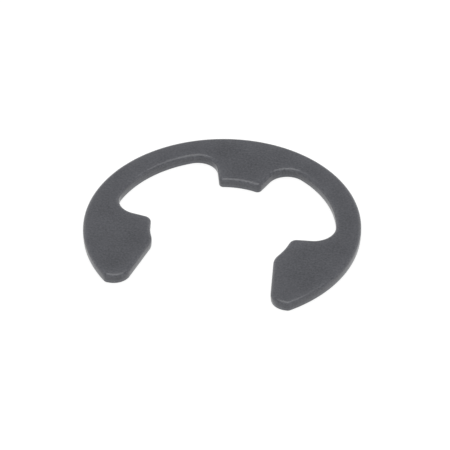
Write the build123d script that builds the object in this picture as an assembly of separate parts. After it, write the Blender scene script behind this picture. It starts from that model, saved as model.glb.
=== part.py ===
"""E-clip: a flat retaining ring, stamped from spring steel, that snaps sideways onto a grooved shaft.

The ring is one piece of strip. Its outer rim is the spring. A central prong and the teeth of two jaws
reach in from the rim and grip the floor of the shaft's groove at three places. Between them lie two
reliefs, which let the jaws open, and below them the mouth, through which the shaft goes in.

Frame: millimetres, with the ring lying flat. The origin is on the underside, on the shaft's axis.
+X is to the right jaw, +Y is to the prong, away from the mouth, and +Z is up, along the shaft.
The ring is the same on both sides of the YZ plane, so its outline is drawn as widths about that plane.
"""

from build123d import *

import os
from math import cos, radians, sin, sqrt, tan

# Strip that the ring is stamped from
thickness = 1.27

# Circles around the shaft's axis
outside_diameter = 33.0
seat_diameter = 17.05  # through the three faces that grip the groove
rim_width = 3.0  # the spring rim, from its outer edge in to the reliefs

# Central prong
prong_width = 4.9  # across its face, before the corners are rounded
prong_flare = 19.2  # degrees that each side leans out, towards the rim
prong_tip_radius = 0.6
prong_root_radius = 2.4

# Jaws: each has a shoulder above, a tooth on the seat circle, a nose at the mouth and a blunt tip
shoulder_drop = 0.33  # from the level of the shaft's axis down to the corner of the tooth
shoulder_slope = 6.9  # degrees that each shoulder rises, towards the rim
relief_end_radius = 2.6  # where the shoulder runs into the rim
tooth_radius = 0.95
nose_bite = 1.03  # how far each nose reaches in past the side of the seat circle, to hold the shaft
nose_radius = 2.4
mouth_flare = 10.9  # degrees that each side of the mouth leans out, towards the tip
tip_width = 2.28  # across the blunt end of a jaw, before its corners are rounded
inner_tip_radius = 2.1
outer_tip_radius = 0.7

# Edges, as the press and the tumbler leave them
die_roll_radius = 0.4  # upper edges, which the die drew down
edge_break = 0.13  # lower edges, where the burr was worn off at 45 degrees

# Radii and depths that follow from the sizes above
outside_radius = outside_diameter / 2
seat_radius = seat_diameter / 2
relief_radius = outside_radius - rim_width
relief_depth = relief_radius - seat_radius

# The most that a corner may be rounded, so that it leaves room on its wall for the next one
seat_corner_limit = 0.3 * relief_depth  # prong tip and tooth
rim_corner_limit = 0.55 * relief_depth  # prong root and relief end
tip_corner_limit = 0.95 * tip_width  # inner corner of a blunt end


def relief_zone():
    """Return what is open above the shoulders, inside the rim, as if there were no prong."""
    rise = tan(radians(shoulder_slope))
    centre_height = -shoulder_drop - seat_radius * rise
    side_height = centre_height + outside_radius * rise
    above_shoulders = Polygon(
        (0, centre_height),
        (outside_radius, side_height),
        (outside_radius, outside_radius),
        (-outside_radius, outside_radius),
        (-outside_radius, side_height),
        align=None,
    )
    return Circle(relief_radius) & above_shoulders


def prong():
    """Return the central prong, a taper from the rim down to its face on the seat circle."""
    face_half = prong_width / 2
    face_height = sqrt(seat_radius**2 - face_half**2)
    root_half = face_half + (relief_radius - face_height) * tan(radians(prong_flare))
    return Polygon(
        (face_half, face_height),
        (root_half, relief_radius),
        (-root_half, relief_radius),
        (-face_half, face_height),
        align=None,
    )


def mouth():
    """Return what is open between the jaws and beyond their blunt ends.

    Each side of the mouth is a straight flank that touches the arc of the nose. The blunt ends lie
    where the jaw, between its flank and the ring's outer edge, has narrowed to tip_width.
    """
    lean = tan(radians(mouth_flare))
    arc_x = seat_radius - nose_bite + nose_radius
    arc_y = -sqrt((seat_radius + nose_radius) ** 2 - arc_x**2)
    touch_x = arc_x - nose_radius * cos(radians(mouth_flare))
    touch_y = arc_y - nose_radius * sin(radians(mouth_flare))
    flank_at_axis = touch_x + touch_y * lean

    # The outer edge stands tip_width outside the flank at end_y, which gives a quadratic in end_y.
    edge_at_axis = flank_at_axis + tip_width
    slope = 1 + lean**2
    root = sqrt((edge_at_axis * lean) ** 2 - slope * (edge_at_axis**2 - outside_radius**2))
    end_y = (edge_at_axis * lean - root) / slope

    flank_at_end = flank_at_axis - end_y * lean
    return Polygon(
        (flank_at_axis, 0),
        (flank_at_end, end_y),
        (outside_radius, end_y),
        (outside_radius, -outside_radius),
        (-outside_radius, -outside_radius),
        (-outside_radius, end_y),
        (-flank_at_end, end_y),
        (-flank_at_axis, 0),
        align=None,
    )


def sharp_outline():
    """Return the ring's outline with every corner still sharp."""
    return Circle(outside_radius) - (relief_zone() - prong()) - Circle(seat_radius) - mouth()


def rounded(outline, corners, radius):
    """Return the outline with those of its corners rounded that stand where the given ones do."""
    places = [corner.center() for corner in corners]
    return fillet([corner for corner in outline.vertices() if corner.center() in places], radius)


def ring_outline():
    """Return the ring's outline, with each pair of corners rounded to its own radius."""
    outline = sharp_outline()
    # Pairs of corners, left and right, from the open end of the mouth up to the roots of the prong
    tips, noses, teeth, relief_ends, prong_tips, prong_roots = outline.vertices().group_by(Axis.Y)
    inner_tips, outer_tips = tips.group_by(lambda corner: abs(corner.X))

    outline = rounded(outline, prong_roots, min(prong_root_radius, rim_corner_limit))
    outline = rounded(outline, prong_tips, min(prong_tip_radius, seat_corner_limit))
    outline = rounded(outline, relief_ends, min(relief_end_radius, rim_corner_limit))
    outline = rounded(outline, teeth, min(tooth_radius, seat_corner_limit))
    outline = rounded(outline, noses, nose_radius)
    outline = rounded(outline, inner_tips, min(inner_tip_radius, tip_corner_limit))
    return rounded(outline, outer_tips, outer_tip_radius)


def e_clip():
    """Return the ring, stamped to its outline, with its upper edges rolled and its lower ones broken."""
    ring = extrude(ring_outline(), thickness)
    ring = fillet(ring.edges().group_by(Axis.Z)[-1], die_roll_radius)
    return chamfer(ring.edges().group_by(Axis.Z)[0], edge_break)


os.makedirs("parts", exist_ok=True)
export_step(e_clip(), "parts/e_clip.step")
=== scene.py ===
"""Looks of an e-clip: a retaining ring stamped from spring-steel strip, phosphated dark grey and oiled.

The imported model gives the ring's place, its outside size and the thickness of its strip. This script draws
the ring again as one clean mesh with the edges that a press leaves, dresses it in its coating, and lays it
on a pale floor in soft light. Everything is in metres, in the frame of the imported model: the shaft's axis
is Z, the prong is at +Y, the mouth is at -Y, and the ring lies on its underside.
"""

import logging
from dataclasses import dataclass
from enum import Enum
from math import cos, pi, radians, sin, sqrt

import bmesh
import bpy
import numpy as np
from mathutils import Matrix, Vector


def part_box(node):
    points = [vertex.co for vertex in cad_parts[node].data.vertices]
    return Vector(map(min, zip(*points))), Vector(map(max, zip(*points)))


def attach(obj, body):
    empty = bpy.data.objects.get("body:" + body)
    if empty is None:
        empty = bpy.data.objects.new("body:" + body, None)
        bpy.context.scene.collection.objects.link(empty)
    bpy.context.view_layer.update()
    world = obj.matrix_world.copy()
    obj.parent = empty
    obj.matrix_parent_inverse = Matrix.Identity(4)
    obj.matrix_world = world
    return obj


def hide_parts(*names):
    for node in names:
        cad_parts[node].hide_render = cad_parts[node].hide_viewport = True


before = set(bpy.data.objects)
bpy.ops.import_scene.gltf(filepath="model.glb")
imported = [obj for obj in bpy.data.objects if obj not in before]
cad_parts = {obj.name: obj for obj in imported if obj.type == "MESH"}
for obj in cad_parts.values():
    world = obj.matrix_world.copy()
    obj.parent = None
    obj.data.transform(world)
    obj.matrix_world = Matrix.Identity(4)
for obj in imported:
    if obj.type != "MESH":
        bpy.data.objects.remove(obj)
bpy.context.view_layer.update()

MM = 0.001
NODE = "e_clip"
BODY = "root"
SLOT = "phosphated_spring_steel"

# A number, or an array of numbers that spreads over the stations
Level = float | np.ndarray

log = logging.getLogger(NODE)


# --- Outline of the ring ---------------------------------------------------------------------------------


@dataclass(frozen=True)
class Stretch:
    """A stretch of the outline with one curvature: a straight line or an arc of a circle.

    Travel keeps the metal on the left. A positive curvature then turns round a corner of the metal, and a
    negative one round a notch.

    Attributes:
        start: Point where the stretch begins.
        end: Point where it ends.
        curvature: One over the radius, or zero for a straight line.
    """

    start: np.ndarray
    end: np.ndarray
    curvature: float = 0.0

    @property
    def half_turn(self) -> float:
        """Half of the angle turned: the chord is two radii times its sine."""
        return float(np.arcsin(np.hypot(*(self.end - self.start)) * self.curvature / 2))

    @property
    def length(self) -> float:
        """Length along the stretch: the chord, times the half turn over its sine."""
        return float(np.hypot(*(self.end - self.start)) / np.sinc(self.half_turn / pi))

    def at(self, along: np.ndarray) -> tuple[np.ndarray, np.ndarray]:
        """Points and outward normals at lengths along the stretch.

        The heading grows evenly, by the curvature times the length. The chord from the start to a point has
        the mean of its two headings, and is as long as the way times the sine of the half turn over the
        half turn. The outward normal is the heading turned a quarter to the right.

        Args:
            along: Lengths from the start, one for each point.

        Returns:
            The points and the unit normals, each as rows of (x, y).
        """
        run = self.end - self.start
        turn = self.curvature * along
        first = np.arctan2(run[1], run[0]) - self.half_turn
        mean = first + turn / 2
        chord = along * np.sinc(turn / 2 / pi)
        points = self.start + chord[:, None] * np.column_stack([np.cos(mean), np.sin(mean)])
        return points, np.column_stack([np.sin(first + turn), -np.cos(first + turn)])

    def halves(self) -> tuple["Stretch", "Stretch"]:
        """The stretch cut in two at its middle."""
        middle = self.at(np.array([self.length / 2]))[0][0]
        return Stretch(self.start, middle, self.curvature), Stretch(middle, self.end, self.curvature)


@dataclass(frozen=True)
class Line:
    """A straight side of the outline, travelled with the metal on its left.

    Attributes:
        through: A point on the line.
        heading: Unit vector of travel.
    """

    through: np.ndarray
    heading: np.ndarray

    @property
    def outward(self) -> np.ndarray:
        """Unit normal that points out of the metal."""
        return np.array([self.heading[1], -self.heading[0]])

    def foot(self, point: np.ndarray) -> np.ndarray:
        """Nearest point of the line, where an arc about the given point touches it."""
        return point + self.outward * (self.outward @ (self.through - point))

    def centre_at(self, height: float, reach: float, ahead: bool = True) -> np.ndarray:
        """Centre of an arc that touches this line and a circle about the shaft's axis.

        The centre is its own height along the outward normal, and along the heading what is left of its
        reach by Pythagoras.

        Args:
            height: Height over the line, negative for a centre in the metal.
            reach: Distance from the shaft's axis.
            ahead: Whether travel comes to the centre after it passes the axis.

        Returns:
            The centre as (x, y).
        """
        out = self.outward @ self.through + height
        forward = sqrt(reach**2 - out**2)
        return self.outward * out + self.heading * (forward if ahead else -forward)

    def centre_inside(self, other: "Line", radius: float) -> np.ndarray:
        """Centre of an arc that rounds the corner with another line, one radius inside both."""
        outward = np.array([self.outward, other.outward])
        return np.linalg.solve(outward, [line.outward @ line.through - radius for line in (self, other)])


@dataclass(frozen=True)
class RingSizes:
    """Sizes of the ring's outline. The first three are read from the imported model.

    Attributes:
        outside_radius: Radius of the outer edge.
        thickness: Thickness of the strip.
        tip_reach: How far the blunt ends of the jaws lie below the shaft's axis.
        seat_radius: Radius of the circle that grips the groove.
        rim_width: Width of the spring rim.
        prong_width: Width of the prong's face before its corners are rounded.
        prong_flare: Angle that each side of the prong leans out.
        shoulder_drop: Depth of the tooth's upper corner below the shaft's axis.
        shoulder_slope: Angle that each shoulder rises towards the rim.
        nose_bite: How far each nose reaches in past the side of the seat circle.
        mouth_flare: Angle that each side of the mouth leans out.
    """

    outside_radius: float
    thickness: float
    tip_reach: float
    seat_radius: float = 8.525 * MM
    rim_width: float = 3.0 * MM
    prong_width: float = 4.9 * MM
    prong_flare: float = radians(19.2)
    prong_tip_radius: float = 0.6 * MM
    prong_root_radius: float = 2.4 * MM
    shoulder_drop: float = 0.33 * MM
    shoulder_slope: float = radians(6.9)
    relief_end_radius: float = 2.6 * MM
    tooth_radius: float = 0.95 * MM
    nose_bite: float = 1.03 * MM
    nose_radius: float = 2.4 * MM
    mouth_flare: float = radians(10.9)
    inner_tip_radius: float = 2.1 * MM
    outer_tip_radius: float = 0.7 * MM

    @classmethod
    def from_frame(cls) -> "RingSizes":
        """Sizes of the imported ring, by the box around its node."""
        low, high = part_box(NODE)
        return cls(outside_radius=high.y, thickness=high.z - low.z, tip_reach=-low.y)

    @property
    def relief_radius(self) -> float:
        """Radius of the rim's inner edge."""
        return self.outside_radius - self.rim_width

    def prong_side(self) -> Line:
        """Right side of the prong, travelled up to the rim."""
        half = self.prong_width / 2
        corner = np.array([half, sqrt(self.seat_radius**2 - half**2)])
        return Line(corner, np.array([sin(self.prong_flare), cos(self.prong_flare)]))

    def shoulder(self) -> Line:
        """Shoulder of the right jaw, travelled in from the rim to the tooth."""
        corner = np.array([self.seat_radius, -self.shoulder_drop])
        return Line(corner, np.array([-cos(self.shoulder_slope), -sin(self.shoulder_slope)]))

    def nose_centre(self) -> np.ndarray:
        """Centre of the right nose, whose arc touches the seat circle from outside."""
        x = self.seat_radius - self.nose_bite + self.nose_radius
        return np.array([x, -sqrt((self.seat_radius + self.nose_radius) ** 2 - x**2)])

    def flank(self) -> Line:
        """Right side of the mouth, travelled down from the nose, whose arc it touches."""
        heading = np.array([sin(self.mouth_flare), -cos(self.mouth_flare)])
        outward = np.array([heading[1], -heading[0]])
        return Line(self.nose_centre() + outward * self.nose_radius, heading)

    def blunt_end(self) -> Line:
        """Blunt end of the right jaw, travelled outwards."""
        return Line(np.array([0.0, -self.tip_reach]), np.array([1.0, 0.0]))


class Side(Enum):
    """Sides of the right half of the ring, in the order of travel, with the steps that divide each."""

    FACE = ("face of the prong", 22)
    PRONG = ("side of the prong, up to the rim", 26)
    RELIEF = ("inner edge of the rim", 52)
    SHOULDER = ("end of the relief, and shoulder of the jaw", 26)
    MOUTH = ("tooth, nose and flank", 60)
    END = ("blunt end of the jaw", 40)
    OUTER_JAW = ("outer edge beside the jaw", 60)
    OUTER_RELIEF = ("outer edge beside the relief", 52)
    OUTER_PRONG = ("outer edge behind the prong", 22)

    def __init__(self, place: str, steps: int) -> None:
        """Name the two values of a side.

        Args:
            place: What the side is.
            steps: How many steps divide it.
        """
        self.place = place
        self.steps = steps


# Steps across the rim. With the shoulder's steps they make as many as the blunt end has, which faces them
# across the jaw.
RIM_STEPS = Side.END.steps - Side.SHOULDER.steps


@dataclass(frozen=True)
class Stations:
    """Stations along the right half of the outline, as whole arrays.

    Attributes:
        points: Rows of (x, y) on the outline.
        outward: Unit normals, out of the metal.
    """

    points: np.ndarray
    outward: np.ndarray


class Outline:
    """The right half of the ring's outline, from the prong's face round to the back of the rim.

    Travel starts on the YZ plane at the prong's face. It goes up the prong's side, round the relief, down
    the jaw, along its blunt end and back up the outer edge to the YZ plane.

    Attributes:
        bend_weight: How strongly a bend draws the stations together, as a length.
    """

    bend_weight: float = 0.9 * MM

    def __init__(self, sizes: RingSizes) -> None:
        """Work out every stretch of the half outline and sort them into sides.

        Args:
            sizes: The ring's sizes.
        """
        self.sides = self.sorted_into_sides(self.stretches(sizes), sizes.outside_radius)

    @staticmethod
    def stretches(sizes: RingSizes) -> list[Stretch]:
        """Stretches between the points where each rounded corner touches its two neighbours.

        A corner's centre lies one radius from the straight side that it touches, and one radius in or out
        from the circle that it touches.

        Args:
            sizes: The ring's sizes.

        Returns:
            The stretches in the order of travel.
        """
        seat, rim, outer = sizes.seat_radius, sizes.relief_radius, sizes.outside_radius
        side, shoulder, flank, end = sizes.prong_side(), sizes.shoulder(), sizes.flank(), sizes.blunt_end()
        prong_tip = side.centre_at(-sizes.prong_tip_radius, seat + sizes.prong_tip_radius)
        prong_root = side.centre_at(sizes.prong_root_radius, rim - sizes.prong_root_radius)
        relief_end = shoulder.centre_at(sizes.relief_end_radius, rim - sizes.relief_end_radius, ahead=False)
        tooth = shoulder.centre_at(-sizes.tooth_radius, seat + sizes.tooth_radius, ahead=False)
        nose = sizes.nose_centre()
        inner_tip = flank.centre_inside(end, sizes.inner_tip_radius)
        outer_tip = end.centre_at(-sizes.outer_tip_radius, outer - sizes.outer_tip_radius)

        def on_circle(radius: float, centre: np.ndarray) -> np.ndarray:
            """Point of a circle about the shaft's axis that lies on the ray through an arc's centre."""
            return centre * (radius / np.hypot(*centre))

        corners = [
            (np.array([0.0, seat]), -1 / seat),
            (on_circle(seat, prong_tip), 1 / sizes.prong_tip_radius),
            (side.foot(prong_tip), 0.0),
            (side.foot(prong_root), -1 / sizes.prong_root_radius),
            (on_circle(rim, prong_root), -1 / rim),
            (on_circle(rim, relief_end), -1 / sizes.relief_end_radius),
            (shoulder.foot(relief_end), 0.0),
            (shoulder.foot(tooth), 1 / sizes.tooth_radius),
            (on_circle(seat, tooth), -1 / seat),
            (on_circle(seat, nose), 1 / sizes.nose_radius),
            (flank.foot(nose), 0.0),
            (flank.foot(inner_tip), 1 / sizes.inner_tip_radius),
            (end.foot(inner_tip), 0.0),
            (end.foot(outer_tip), 1 / sizes.outer_tip_radius),
            (on_circle(outer, outer_tip), 1 / outer),
            (np.array([0.0, outer]), 0.0),
        ]
        return [Stretch(a, b, curvature) for (a, curvature), (b, _) in zip(corners, corners[1:])]

    @staticmethod
    def sorted_into_sides(stretches: list[Stretch], outside_radius: float) -> dict[Side, list[Stretch]]:
        """Stretches of each side. Each side starts and ends in the middle of a corner, which is cut in two.

        The outer edge is cut on the rays from the shaft's axis through the two cuts in the relief.

        Args:
            stretches: The stretches of the half outline, in the order of travel.
            outside_radius: Radius of the outer edge.

        Returns:
            The stretches by side.
        """
        face, tip, prong, root, rim = stretches[:5]
        relief_end, shoulder, tooth, seat, nose = stretches[5:10]
        flank, inner, end, low, outer = stretches[10:]
        tip_in, tip_out = tip.halves()
        root_in, root_out = root.halves()
        relief_in, relief_out = relief_end.halves()
        tooth_in, tooth_out = tooth.halves()
        inner_in, inner_out = inner.halves()
        low_in, low_out = low.halves()
        cuts = [outer.start, relief_out.start, root_out.start, outer.end]
        cuts = [cut * (outside_radius / np.hypot(*cut)) for cut in cuts]
        past_jaw, past_relief, past_prong = (Stretch(a, b, outer.curvature) for a, b in zip(cuts, cuts[1:]))
        return {
            Side.FACE: [face, tip_in],
            Side.PRONG: [tip_out, prong, root_in],
            Side.RELIEF: [root_out, rim, relief_in],
            Side.SHOULDER: [relief_out, shoulder, tooth_in],
            Side.MOUTH: [tooth_out, seat, nose, flank, inner_in],
            Side.END: [inner_out, end, low_in],
            Side.OUTER_JAW: [low_out, past_jaw],
            Side.OUTER_RELIEF: [past_relief],
            Side.OUTER_PRONG: [past_prong],
        }

    def side_stations(self, side: Side) -> Stations:
        """Stations along one side, closer together where it bends.

        A stretch has a density of 1 + bend_weight * |curvature|, and the stations stand at equal shares of
        the density summed along the side.

        Args:
            side: The side to divide.

        Returns:
            The side's stations, with its first and last point.
        """
        stretches = self.sides[side]
        lengths = np.array([stretch.length for stretch in stretches])
        curvature = np.array([stretch.curvature for stretch in stretches])
        density = 1 + self.bend_weight * np.abs(curvature)
        share = np.concatenate([[0.0], np.cumsum(lengths * density)])
        wanted = np.linspace(0, share[-1], side.steps + 1)
        which = np.clip(np.searchsorted(share, wanted, side="right") - 1, 0, len(stretches) - 1)
        along = (wanted - share[which]) / density[which]
        placed = [stretch.at(along[which == i]) for i, stretch in enumerate(stretches)]
        return Stations(
            points=np.concatenate([points for points, _ in placed]),
            outward=np.concatenate([normals for _, normals in placed]),
        )

    def stations(self) -> tuple[Stations, dict[Side, slice]]:
        """Stations of all sides joined, and where each side's own stations are among them.

        The last station of a side is the first of the next, so it is kept once.

        Returns:
            The joined stations, and a slice of them for each side.
        """
        parts = [self.side_stations(side) for side in Side]
        starts = np.concatenate([[0], np.cumsum([side.steps for side in Side])])
        where = {side: slice(int(a), int(a) + side.steps + 1) for side, a in zip(Side, starts)}

        def joined(arrays: list[np.ndarray]) -> np.ndarray:
            """The arrays end to end, without the last row of each but the last."""
            return np.concatenate([array[:-1] for array in arrays[:-1]] + [arrays[-1]])

        whole = Stations(
            points=joined([part.points for part in parts]),
            outward=joined([part.outward for part in parts]),
        )
        return whole, where


# --- The ring as a mesh ----------------------------------------------------------------------------------


@dataclass(frozen=True)
class PressedEdge:
    """The edges that the press and the tumbler leave round a stamped part.

    The punch draws the upper face down beside its cut, shears the upper part of the wall smooth, and breaks
    the rest away. Tumbling then rounds what stands out.

    Attributes:
        sag: How far the upper face is drawn down at a straight edge.
        reach: Spread of the bell curve that gives the sag its form.
        roll_width: How far in the rounded upper edge reaches.
        roll_depth: How far down it reaches on the wall.
        margin: Width of the band beside each edge that keeps the faces' own direction.
        land: Share of the wall that the punch sheared smooth.
        lean: How far in the broken part of the wall leans at its foot.
        foot: Radius of the lower edge, where tumbling took the burr off.
        ripple: How much the land wanders along the edge, as a share.
        ripple_length: Length of that wandering.
        ripple_heading: Direction across the ring of its first wave, in radians.
    """

    sag: float = 0.05 * MM
    reach: float = 1.0 * MM
    roll_width: float = 0.44 * MM
    roll_depth: float = 0.36 * MM
    margin: float = 0.05 * MM
    land: float = 0.45
    lean: float = 0.03 * MM
    foot: float = 0.13 * MM
    ripple: float = 0.12
    ripple_length: float = 3.1 * MM
    ripple_heading: float = 1.9


class Mark(Enum):
    """What the mesh stores at each vertex for the finish, each from 0 to 1."""

    WALL = "wall"
    WORN_AND_HIGHLIGHT = "worn_and_highlight"
    BROKEN = "broken"
    BRINK = "brink"


@dataclass(frozen=True)
class Section:
    """The section through the ring's edge at every station, as one row of points for each.

    Attributes:
        inset: How far in from the outline each point lies.
        height: Height of each point over the underside.
        wall: How steep the surface is there.
        worn_and_highlight: How much the edge stands out to wear; the finish also paints a highlight with it
            on the rolled edge.
        broken: Whether the metal broke away there.
    """

    inset: np.ndarray
    height: np.ndarray
    wall: np.ndarray
    worn_and_highlight: np.ndarray
    broken: np.ndarray


@dataclass
class Ring:
    """The stamped ring: its upper and lower faces, and the wall round its outline.

    Attributes:
        sizes: The ring's sizes.
        edge: The form of its edges.
        roll_steps: Steps round the rolled upper edge.
        land_steps: Steps down the smooth part of the wall.
        break_steps: Steps down the broken part.
        foot_steps: Steps round the lower edge.
        settling: How many times the inner points of the faces settle between their neighbours.
        weld: Distance within which points of neighbouring patches are one.
    """

    sizes: RingSizes
    edge: PressedEdge
    roll_steps: int = 9
    land_steps: int = 3
    break_steps: int = 4
    foot_steps: int = 5
    settling: int = 60
    weld: float = 1e-7

    def __post_init__(self) -> None:
        """Divide the outline into stations, and join both halves to one cut all round."""
        self.stations, self.where = Outline(self.sizes).stations()
        points = self.stations.points
        middles, runs = (points[1:] + points[:-1]) / 2, np.diff(points, axis=0)
        outward = np.column_stack([runs[:, 1], -runs[:, 0]])
        self.cut = np.concatenate([middles, middles * [-1, 1]])
        self.cut_outward = np.concatenate([outward, outward * [-1, 1]])

    def outside_share(self, plane: np.ndarray) -> np.ndarray:
        """Share of a bell curve about each point that falls outside the outline.

        The inside share is a sum along the cut, by the divergence theorem: the vector from the point to
        each piece of the cut, along the piece's outward normal, over two pi times its squared length, times
        what the bell holds within that length. A straight edge gives a half, a corner more, a notch less.

        Args:
            plane: Rows of (x, y).

        Returns:
            The share for each row.
        """
        x = self.cut[:, 0] - plane[:, :1]
        y = self.cut[:, 1] - plane[:, 1:2]
        square = x**2 + y**2 + self.weld**2
        held = 1 - np.exp(-square / (2 * self.edge.reach**2))
        flow = (x * self.cut_outward[:, 0] + y * self.cut_outward[:, 1]) * held / square
        return 1 - flow.sum(axis=1) / (2 * pi)

    def wander(self, side: int, turn: float) -> np.ndarray:
        """Slow change along the edge, from -1 to 1: the mean of three waves across the plane.

        The waves head 60 degrees apart and their lengths are in the golden ratio, so they don't repeat
        within the ring, and the two halves differ.

        Args:
            side: 1 for the right half and -1 for the left.
            turn: Direction of the first wave, in radians.

        Returns:
            The change at each station.
        """
        golden = (1 + sqrt(5)) / 2
        plane = self.stations.points * [side, 1] * (2 * pi / self.edge.ripple_length)
        waves = [(turn + i * pi / 3, golden**-i) for i in range(3)]
        heights = [np.sin(plane @ [cos(head) * pace, sin(head) * pace]) for head, pace in waves]
        return np.mean(heights, axis=0)

    def section(self, side: int) -> Section:
        """Section of the edge at every station, from the upper face down the wall to the underside.

        The roll is a quarter of an ellipse, the land is upright, the break leans in evenly, and the foot is
        a quarter of a circle.

        Args:
            side: 1 for the right half and -1 for the left.

        Returns:
            The section, with a row for each station.
        """
        edge, top = self.edge, self.sizes.thickness
        roll_foot = top - edge.roll_depth
        land = edge.land * (1 + edge.ripple * self.wander(side, edge.ripple_heading))
        land_foot = (roll_foot - (roll_foot - edge.foot) * land)[:, None]

        def zone(
            inset: Level, height: Level, wall: Level = 0, worn_and_highlight: Level = 0, broken: Level = 0
        ) -> np.ndarray:
            """One zone of the section, with what is the same at every station spread over them."""
            return np.stack(np.broadcast_arrays(0 * land_foot, inset, height, wall, worn_and_highlight, broken)[1:])

        roll = np.linspace(0, pi / 2, self.roll_steps + 1)
        foot = np.linspace(0, pi / 2, self.foot_steps + 1)[1:]
        down_land = np.linspace(0, 1, self.land_steps + 1)[1:]
        down_break = np.linspace(0, 1, self.break_steps + 1)[1:]
        zones = [
            zone(inset=edge.roll_width + edge.margin, height=top),
            zone(
                inset=edge.roll_width * (1 - np.sin(roll)),
                height=top - edge.roll_depth * (1 - np.cos(roll)),
                wall=np.sin(roll),
                # On the roll this mark peaks halfway round: where tumbling wears the edge, and where the
                # finish paints a highlight.
                worn_and_highlight=np.sin(2 * roll),
            ),
            zone(inset=0, height=roll_foot + (land_foot - roll_foot) * down_land, wall=1),
            zone(
                inset=edge.lean * down_break,
                height=land_foot + (edge.foot - land_foot) * down_break,
                wall=1,
                broken=1,
            ),
            zone(
                inset=edge.lean + edge.foot * (1 - np.cos(foot)),
                height=edge.foot * (1 - np.sin(foot)),
                wall=np.cos(foot),
                worn_and_highlight=np.sin(2 * foot),
                broken=np.cos(foot),
            ),
            zone(inset=edge.lean + edge.foot + edge.margin, height=0),
        ]
        return Section(*np.concatenate(zones, axis=2))

    def edge_surface(self, side: int) -> tuple[np.ndarray, np.ndarray]:
        """The edge round half of the ring: the section carried along the outline.

        A point is its station, less its inset along the outward normal, at its height.

        Args:
            side: 1 for the right half and -1 for the left.

        Returns:
            A grid of points (x, y, z), and a grid of (wall, worn, broken) at each.
        """
        section = self.section(side)
        plane = self.stations.points[:, None] - section.inset[..., None] * self.stations.outward[:, None]
        points = np.concatenate([plane * [side, 1], section.height[..., None]], axis=2)
        return points, np.stack([section.wall, section.worn_and_highlight, section.broken], axis=2)

    def patch(self, west: np.ndarray, east: np.ndarray, south: np.ndarray, north: np.ndarray) -> np.ndarray:
        """A four-sided patch over its sides.

        Each point is the mean across from west to east, plus the mean up from south to north, less the
        mean of the four corners, all weighted by where the point lies. The inner points then settle: each
        moves to the mean of its four neighbours, again and again. West and east run from south to north,
        and south and north from west to east.

        Args:
            west: Points along the side at u = 0.
            east: Points along the side at u = 1.
            south: Points along the side at v = 0.
            north: Points along the side at v = 1.

        Returns:
            A grid of points, with a row for each point of the west side.
        """
        u = np.linspace(0, 1, len(south))[None, :, None]
        v = np.linspace(0, 1, len(west))[:, None, None]
        across = (1 - u) * west[:, None] + u * east[:, None]
        up = (1 - v) * south[None] + v * north[None]
        corners = (1 - v) * ((1 - u) * south[0] + u * south[-1]) + v * ((1 - u) * north[0] + u * north[-1])
        grid = across + up - corners
        for _ in range(self.settling):
            beside = grid[1:-1, :-2] + grid[1:-1, 2:] + grid[:-2, 1:-1] + grid[2:, 1:-1]
            grid[1:-1, 1:-1] = beside / 4
        return grid

    def face_patches(self, rim: np.ndarray) -> list[np.ndarray]:
        """Half of the upper or lower face as three patches: beside the prong, the relief and the jaw.

        Args:
            rim: Points of that face's edge, one for each station.

        Returns:
            The three patches, each as a grid of points.
        """
        sides = {side: rim[place] for side, place in self.where.items()}

        def straight(a: np.ndarray, b: np.ndarray, steps: int) -> np.ndarray:
            """Points on the straight line from a to b."""
            return a + (b - a) * np.linspace(0, 1, steps + 1)[:, None]

        behind_root = straight(sides[Side.RELIEF][0], sides[Side.OUTER_PRONG][0], RIM_STEPS)
        at_waist = straight(sides[Side.OUTER_RELIEF][0], sides[Side.SHOULDER][0], RIM_STEPS)
        middle = straight(sides[Side.FACE][0], sides[Side.OUTER_PRONG][-1], Side.PRONG.steps + RIM_STEPS)
        prong = self.patch(
            west=middle,
            east=np.concatenate([sides[Side.PRONG], behind_root[1:]]),
            south=sides[Side.FACE],
            north=sides[Side.OUTER_PRONG][::-1],
        )
        relief = self.patch(
            west=behind_root,
            east=at_waist[::-1],
            south=sides[Side.RELIEF],
            north=sides[Side.OUTER_RELIEF][::-1],
        )
        jaw = self.patch(
            west=np.concatenate([at_waist, sides[Side.SHOULDER][1:]])[::-1],
            east=sides[Side.END],
            south=sides[Side.MOUTH],
            north=sides[Side.OUTER_JAW][::-1],
        )
        return [prong, relief, jaw]

    def drawn_down(self, points: np.ndarray) -> tuple[np.ndarray, np.ndarray]:
        """Points after the punch has drawn the upper face down, and how near the brink each one is.

        A point sinks by twice the sag times its outside share. That is whole from the roll up, and fades
        evenly to nothing down the wall to the foot.

        Args:
            points: Rows of (x, y, z).

        Returns:
            The rows after the sag, and how near the brink each is, from 0 to 1.
        """
        edge = self.edge
        brink = 2 * self.outside_share(points[:, :2])
        height = (points[:, 2] - edge.foot) / (self.sizes.thickness - edge.roll_depth - edge.foot)
        sunk = edge.sag * brink * np.clip(height, 0, 1)
        return np.column_stack([points[:, :2], points[:, 2] - sunk]), np.clip(brink, 0, 1)

    def mesh(self) -> bpy.types.Mesh:
        """The whole ring as one closed mesh, with its marks stored at each vertex.

        Returns:
            The mesh.
        """
        points, marks, faces = [], [], []

        def add(grid: np.ndarray, values: np.ndarray, outward: bool) -> None:
            """Add a grid of points as quads, turned over if they would face inwards.

            Args:
                grid: The points.
                values: Wall, worn and broken at each.
                outward: Whether the quads face outwards as they come.
            """
            rows, columns = grid.shape[:2]
            index = np.arange(rows * columns).reshape(rows, columns) + sum(map(len, points))
            quads = np.stack([index[:-1, :-1], index[:-1, 1:], index[1:, 1:], index[1:, :-1]], axis=2)
            faces.append((quads if outward else quads[..., ::-1]).reshape(-1, 4))
            sunk, brink = self.drawn_down(grid.reshape(-1, 3))
            points.append(sunk)
            marks.append(np.column_stack([values.reshape(-1, values.shape[-1]), brink]))

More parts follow.
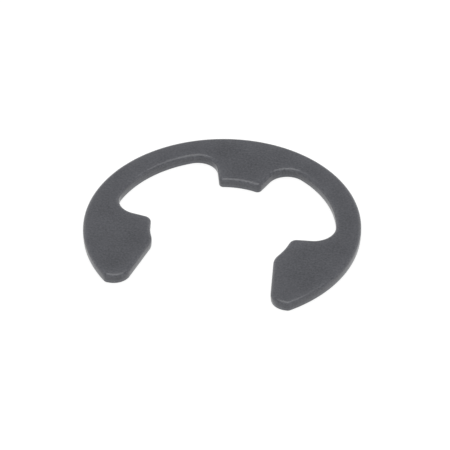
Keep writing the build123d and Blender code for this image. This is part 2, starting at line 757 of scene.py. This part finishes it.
        for side in (1, -1):
            edge, values = self.edge_surface(side)
            add(edge, values, outward=side > 0)
            for row, upper in ((0, True), (-1, False)):
                for patch in self.face_patches(edge[:, row]):
                    add(patch, np.zeros(patch.shape[:2] + values.shape[-1:]), outward=(side > 0) == upper)

        data = bpy.data.meshes.new(NODE + "_ring")
        data.from_pydata(np.concatenate(points).tolist(), [], np.concatenate(faces).tolist())
        for mark, column in zip(Mark, np.concatenate(marks).T):
            data.attributes.new(mark.value, "FLOAT", "POINT").data.foreach_set("value", column)
        self.close_seams(data)
        return data

    def close_seams(self, data: bpy.types.Mesh) -> None:
        """Weld the patches where they share an edge, and shade the mesh smooth.

        Args:
            data: The mesh to weld.
        """
        work = bmesh.new()
        work.from_mesh(data)
        bmesh.ops.remove_doubles(work, verts=work.verts, dist=self.weld)
        open_edges = sum(not edge.is_manifold for edge in work.edges)
        volume = work.calc_volume(signed=True)
        work.to_mesh(data)
        work.free()
        data.shade_smooth()
        log.info("open edges %d, volume %.1f mm3, faces %d", open_edges, volume / MM**3, len(data.polygons))

    def build(self, material: bpy.types.Material) -> bpy.types.Object:
        """Make the ring, dress it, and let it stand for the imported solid.

        Args:
            material: The ring's finish.

        Returns:
            The ring's object.
        """
        ring = bpy.data.objects.new("phosphated_ring", self.mesh())
        bpy.context.scene.collection.objects.link(ring)
        ring.data.materials.append(material)
        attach(ring, BODY)
        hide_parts(NODE)
        return ring


# --- Finishes --------------------------------------------------------------------------------------------


def linear(colour: str) -> tuple[float, float, float, float]:
    """Linear colour of an sRGB hex value, by the standard's curve.

    Args:
        colour: Six hex digits after a hash.

    Returns:
        Red, green, blue and an alpha of 1.
    """
    shares = [int(colour[i : i + 2], 16) / 255 for i in (1, 3, 5)]
    red, green, blue = (s / 12.92 if s <= 0.04045 else ((s + 0.055) / 1.055) ** 2.4 for s in shares)
    return red, green, blue, 1.0


Tree = bpy.types.NodeTree
Socket = bpy.types.NodeSocket
Given = str | int | float | bool | tuple | Socket


def node(tree: Tree, kind: str, given: dict[str | int, Given] | None = None) -> bpy.types.Node:
    """Add a node with its settings and links.

    Args:
        tree: The node tree.
        kind: The node's type.
        given: Values by the name of a property, or by the name or number of an input. Where the value is an
            output of another node, it is linked to that input.

    Returns:
        The node.
    """
    made = tree.nodes.new(kind)
    for key, value in (given or {}).items():
        if isinstance(value, Socket):
            tree.links.new(value, made.inputs[key])
        elif isinstance(key, str) and hasattr(made, key):
            setattr(made, key, value)
        else:
            made.inputs[key].default_value = value
    return made


def maths(tree: Tree, operation: str, *terms: Given) -> Socket:
    """Result of an operation on numbers or outputs."""
    return node(tree, "ShaderNodeMath", {"operation": operation, **dict(enumerate(terms))}).outputs[0]


def noise(tree: Tree, place: Given, size: float, roughness: float = 0.5) -> Socket:
    """Soft random pattern with features of a size, between 0 and 1 and mostly near a half."""
    given = {"Vector": place, "Scale": 1 / size, "Detail": 2.0, "Roughness": roughness}
    return node(tree, "ShaderNodeTexNoise", given).outputs["Fac"]


def spread(
    tree: Tree,
    value: Given,
    source: tuple[float, float] = (0.0, 1.0),
    target: tuple[float, float] = (0.0, 1.0),
    interpolation: str = "LINEAR",
) -> Socket:
    """A value carried from one range to another and held within it.

    Args:
        tree: The node tree.
        value: The value.
        source: The range that it comes from.
        target: The range that it goes to.
        interpolation: How it goes from one end to the other.

    Returns:
        The carried value.
    """
    ends = dict(zip(("From Min", "From Max", "To Min", "To Max"), source + target))
    given = {"interpolation_type": interpolation, "Value": value, **ends}
    return node(tree, "ShaderNodeMapRange", given).outputs[0]


def blend(tree: Tree, share: Given, first: Given, second: Given) -> Socket:
    """Colour between two colours, which goes to the second as the share goes from 0 to 1."""
    return node(tree, "ShaderNodeMix", {"data_type": "RGBA", 0: share, 6: first, 7: second}).outputs[2]


def bare_material(name: str) -> tuple[bpy.types.Material, Tree]:
    """Make a material without nodes.

    Args:
        name: The material's name.

    Returns:
        The material and its empty node tree.
    """
    made = bpy.data.materials.new(name)
    made.use_nodes = True
    made.node_tree.nodes.clear()
    return made, made.node_tree


@dataclass(frozen=True)
class PhosphatedSteel:
    """Hardened spring steel strip, stamped, tumbled, phosphated and lightly oiled.

    The coat is a mat of fine dark crystals in oil. To the eye it is a matte dark grey, with a soft sheen
    that grows where it is seen at a slant, a fine grain, and faint clouds where the oil lies thicker. Its
    colour is lighter towards the edges: partly wear from tumbling, partly painted sheen beside the edges and
    down the walls, and a painted highlight on the rolled edges. The wall is smoother than the faces and has
    faint upright marks from the punch. Its broken part holds more crystals, so it is lighter.

    Attributes:
        coat: Colour between the crystals.
        crystals: Colour of the lightest crystals.
        rub_and_sheen_colour: Lighter colour at the edges: bare crystals where tumbling wore the coat, and
            painted sheen and a painted highlight.
        broken: Colour of the broken part of the wall.
        edge_rub_and_sheen: How far the colour goes to that lighter one beside the edges and down the walls:
            wear, and painted sheen.
        corner_rub_and_highlight: How much further it goes on the rolled and lower edges: wear from tumbling,
            and on the rolled edge a painted highlight.
        scored: How dark the punch's marks on the wall are, as a share of the colour.
        roughness: Roughness of the coat on the faces.
        wall_roughness: Roughness of the coat on the wall.
        grain: Size of the crystals' clusters, drawn several times as coarse as they are, so that they show.
        grain_roughness: How much of the grain is finer than that.
        grain_share: Share of the grain in the mottling. The clouds have the rest.
        mottling: Range of the mottling that goes from the coat's colour to the crystals'.
        cloud: Size of the clouds.
        streak: Spacing of the upright marks that the punch leaves on the wall.
        streak_length: How many times as long as wide those marks are.
        streak_range: Range of their pattern that goes from dark to nothing.
        relief: Height of the grain.
    """

    coat: str = "#35363b"
    crystals: str = "#505156"
    rub_and_sheen_colour: str = "#606166"
    broken: str = "#585a5f"
    edge_rub_and_sheen: float = 0.28
    corner_rub_and_highlight: float = 0.3
    scored: float = 0.85
    roughness: float = 0.32
    wall_roughness: float = 0.28
    grain: float = 0.25 * MM
    grain_roughness: float = 0.6
    grain_share: float = 0.75
    mottling: tuple[float, float] = (0.33, 0.67)
    cloud: float = 3.0 * MM
    streak: float = 0.25 * MM
    streak_length: float = 10.0
    streak_range: tuple[float, float] = (0.35, 0.65)
    relief: float = 0.017 * MM

    def crystal_share(self, tree: Tree, place: Given, grain: Given) -> Socket:
        """How much of the coat the crystals cover: the grain and the clouds, with the contrast raised."""
        clouds = maths(tree, "MULTIPLY", noise(tree, place, self.cloud), 1 - self.grain_share)
        return spread(tree, maths(tree, "MULTIPLY_ADD", grain, self.grain_share, clouds), self.mottling)

    def scoring(self, tree: Tree, place: Given, wall: Given) -> Socket:
        """Share of the colour that the punch's marks leave: all of it on the faces, and less on the wall.

        Args:
            tree: The node tree.
            place: The point on the ring.
            wall: How steep the surface is there.

        Returns:
            The share, from 0 to 1.
        """
        squeeze = {"operation": "MULTIPLY", 0: place, 1: (1.0, 1.0, 1 / self.streak_length)}
        upright = node(tree, "ShaderNodeVectorMath", squeeze).outputs[0]
        marks = spread(tree, noise(tree, upright, self.streak), self.streak_range, (self.scored, 1.0))
        return node(tree, "ShaderNodeMix", {"data_type": "FLOAT", 0: wall, 2: 1.0, 3: marks}).outputs[0]

    def material(self) -> bpy.types.Material:
        """Build the material.

        Returns:
            The ring's finish.
        """
        made, tree = bare_material(SLOT)
        place = node(tree, "ShaderNodeTexCoord").outputs["Object"]
        wall, worn_and_highlight, broken, brink = (
            node(tree, "ShaderNodeAttribute", {"attribute_name": mark.value}).outputs["Fac"] for mark in Mark
        )
        grain = noise(tree, place, self.grain, self.grain_roughness)
        crystals = self.crystal_share(tree, place, grain)
        coat = blend(tree, crystals, linear(self.coat), linear(self.crystals))
        unworn = blend(tree, broken, coat, linear(self.broken))
        # Lighter towards the edges, in two parts. Beside every edge and down the walls: partly wear from
        # tumbling, partly painted sheen. On the rolled and lower edges: partly wear, and on the rolled edge
        # a painted highlight.
        corners = maths(tree, "MULTIPLY", worn_and_highlight, self.corner_rub_and_highlight)
        rub_and_sheen_share = maths(tree, "MULTIPLY_ADD", corners, crystals, maths(tree, "MULTIPLY", brink, self.edge_rub_and_sheen))
        rub_and_sheen_colour = blend(tree, rub_and_sheen_share, unworn, linear(self.rub_and_sheen_colour))
        scored = self.scoring(tree, place, wall)
        colour = node(tree, "ShaderNodeVectorMath", {"operation": "SCALE", 0: rub_and_sheen_colour, "Scale": scored})
        bump = node(tree, "ShaderNodeBump", {"Strength": 1.0, "Distance": self.relief, "Height": grain})
        shader = node(
            tree,
            "ShaderNodeBsdfPrincipled",
            {
                "Base Color": colour.outputs[0],
                "Roughness": spread(tree, wall, target=(self.roughness, self.wall_roughness)),
                "Normal": bump.outputs["Normal"],
            },
        )
        node(tree, "ShaderNodeOutputMaterial", {"Surface": shader.outputs["BSDF"]})
        return made


# --- Floor, light and camera -----------------------------------------------------------------------------


def direction(azimuth: float, elevation: float) -> Vector:
    """Unit vector from the ring, at an azimuth from in front of the mouth towards +X, and an elevation."""
    return Vector((sin(azimuth) * cos(elevation), -cos(azimuth) * cos(elevation), sin(elevation)))


@dataclass(frozen=True)
class View:
    """Where the camera stands: in front of the mouth, a little to the right, with a long lens.

    Attributes:
        azimuth: Angle round the ring, from straight in front of the mouth towards +X.
        elevation: Angle above the floor.
        roll: Turn of the ring in the picture, anticlockwise.
        distance: From the camera to its aim.
        width: Width of the picture at that distance.
        aim: The point at the picture's centre.
        sensor: Width of the camera's sensor, in millimetres.
    """

    azimuth: float = radians(14.76)
    elevation: float = radians(39.55)
    roll: float = radians(0.62)
    distance: float = 1410 * MM
    width: float = 53.42 * MM
    aim: tuple[float, float, float] = (-0.054 * MM, 1.577 * MM, 0.0)
    sensor: float = 36.0

    def camera(self) -> bpy.types.Object:
        """Make the camera and give it to the scene.

        Returns:
            The camera.
        """
        data = bpy.data.cameras.new("camera")
        data.sensor_width = self.sensor
        data.lens = self.sensor * self.distance / self.width
        back = direction(self.azimuth, self.elevation)
        level = Vector((cos(self.azimuth), sin(self.azimuth), 0))
        up = back.cross(level)
        right = level * cos(self.roll) - up * sin(self.roll)
        above = level * sin(self.roll) + up * cos(self.roll)
        turn = Matrix((right, above, back)).transposed().to_4x4()
        camera = bpy.data.objects.new("camera", data)
        camera.matrix_world = Matrix.Translation(Vector(self.aim) + back * self.distance) @ turn
        bpy.context.scene.collection.objects.link(camera)
        bpy.context.scene.camera = camera
        return camera


@dataclass(frozen=True)
class SoftBox:
    """A square lamp behind a diffuser, aimed at the ring.

    Attributes:
        name: The lamp's name.
        azimuth: Angle round the ring, from straight in front of the mouth towards +X.
        elevation: Angle above the floor.
        distance: How far away it stands.
        size: Side of its diffuser.
        glow: How bright the diffuser is, where 1 is white.
    """

    name: str
    azimuth: float
    elevation: float
    distance: float
    size: float
    glow: float

    def light(self) -> bpy.types.Object:
        """Make the lamp. Its power is its glow times pi times the diffuser's area.

        Returns:
            The lamp.
        """
        data = bpy.data.lights.new(self.name, "AREA")
        data.shape = "SQUARE"
        data.size = self.size
        data.energy = self.glow * pi * self.size**2
        back = direction(self.azimuth, self.elevation)
        turn = back.to_track_quat("Z", "Y").to_matrix().to_4x4()
        lamp = bpy.data.objects.new(self.name, data)
        lamp.matrix_world = Matrix.Translation(back * self.distance) @ turn
        bpy.context.scene.collection.objects.link(lamp)
        return lamp


@dataclass(frozen=True)
class Studio:
    """A white sweep under a dimmer ceiling, with a soft lamp overhead.

    Attributes:
        sweep: How bright the sweep is.
        ceiling: How bright the ceiling is.
        sweep_top: Elevation at which the sweep begins to fade into the ceiling.
        ceiling_foot: Elevation at which the ceiling begins.
        floor_size: Side of the floor.
        floor_drop: How far the floor lies below the ring's underside.
        paper: Colour of the floor.
        floor_glow: Light that is seen in the floor besides what falls on it.
        floor_share: Share of the light falling on the floor that is seen in it.
        key: The lamp.
    """

    sweep: float = 1.0
    ceiling: float = 0.3
    sweep_top: float = radians(25)
    ceiling_foot: float = radians(42)
    floor_size: float = 3.2
    floor_drop: float = 0.02 * MM
    paper: str = "#f4f4f4"
    floor_glow: float = 0.8
    floor_share: float = 0.3
    key: SoftBox = SoftBox("overhead", View.azimuth, radians(90), distance=0.6, size=0.62, glow=2.5)

    def world(self) -> None:
        """Surround the scene with the white sweep, which fades, higher up, into the ceiling."""
        world = bpy.data.worlds.new("sweep")
        world.use_nodes = True
        tree = world.node_tree
        tree.nodes.clear()
        heading = node(tree, "ShaderNodeTexCoord").outputs["Generated"]
        height = node(tree, "ShaderNodeSeparateXYZ", {0: heading}).outputs["Z"]
        fade = (sin(self.sweep_top), sin(self.ceiling_foot))
        level = spread(tree, height, fade, (self.sweep, self.ceiling), "SMOOTHSTEP")
        light = node(tree, "ShaderNodeBackground", {"Color": (1, 1, 1, 1), "Strength": level})
        node(tree, "ShaderNodeOutputWorld", {"Surface": light.outputs[0]})
        bpy.context.scene.world = world

    def floor(self) -> bpy.types.Object:
        """Lay the floor just under the ring.

        Returns:
            The floor.
        """
        half, level = self.floor_size / 2, -self.floor_drop
        corners = [(x, y, level) for x, y in ((-half, -half), (half, -half), (half, half), (-half, half))]
        data = bpy.data.meshes.new("floor")
        data.from_pydata(corners, [], [(0, 1, 2, 3)])
        data.materials.append(self.floor_material())
        floor = bpy.data.objects.new("floor", data)
        bpy.context.scene.collection.objects.link(floor)
        return floor

    def floor_material(self) -> bpy.types.Material:
        """White paper. It looks pure white except where the ring shades it, and lights the ring as paper.

        What is seen in it, by the camera, in a reflection or through glass, is a glow and a share of the
        light that falls on it.

        Returns:
            The paper.
        """
        made, tree = bare_material("white_paper")
        path = node(tree, "ShaderNodeLightPath").outputs
        seen = maths(tree, "MAXIMUM", path["Is Camera Ray"], path["Is Glossy Ray"])
        seen = maths(tree, "MAXIMUM", seen, path["Is Transmission Ray"])
        red, green, blue, alpha = linear(self.paper)
        share = (red * self.floor_share, green * self.floor_share, blue * self.floor_share, alpha)
        paper = node(tree, "ShaderNodeBsdfDiffuse", {"Color": linear(self.paper)}).outputs[0]
        faint = node(tree, "ShaderNodeBsdfDiffuse", {"Color": share}).outputs[0]
        glow = node(tree, "ShaderNodeEmission", {"Strength": self.floor_glow}).outputs[0]
        shown = node(tree, "ShaderNodeAddShader", {0: faint, 1: glow}).outputs[0]
        surface = node(tree, "ShaderNodeMixShader", {0: seen, 1: paper, 2: shown}).outputs[0]
        node(tree, "ShaderNodeOutputMaterial", {"Surface": surface})
        return made

    def build(self) -> None:
        """Set the colour view, the world, the floor and the lamp."""
        bpy.context.scene.view_settings.view_transform = "Standard"
        self.world()
        self.floor()
        self.key.light()


# --- Making it all ---------------------------------------------------------------------------------------


def main() -> None:
    """Build the ring, the studio and the camera, in that order."""
    logging.basicConfig(level=logging.INFO, format="%(name)s: %(message)s")
    ring = Ring(RingSizes.from_frame(), PressedEdge()).build(PhosphatedSteel().material())
    log.info("ring %s rides on %s", ring.name, BODY)
    Studio().build()
    View().camera()
    log.info("studio and camera are in place")


if __name__ == "__main__":
    main()
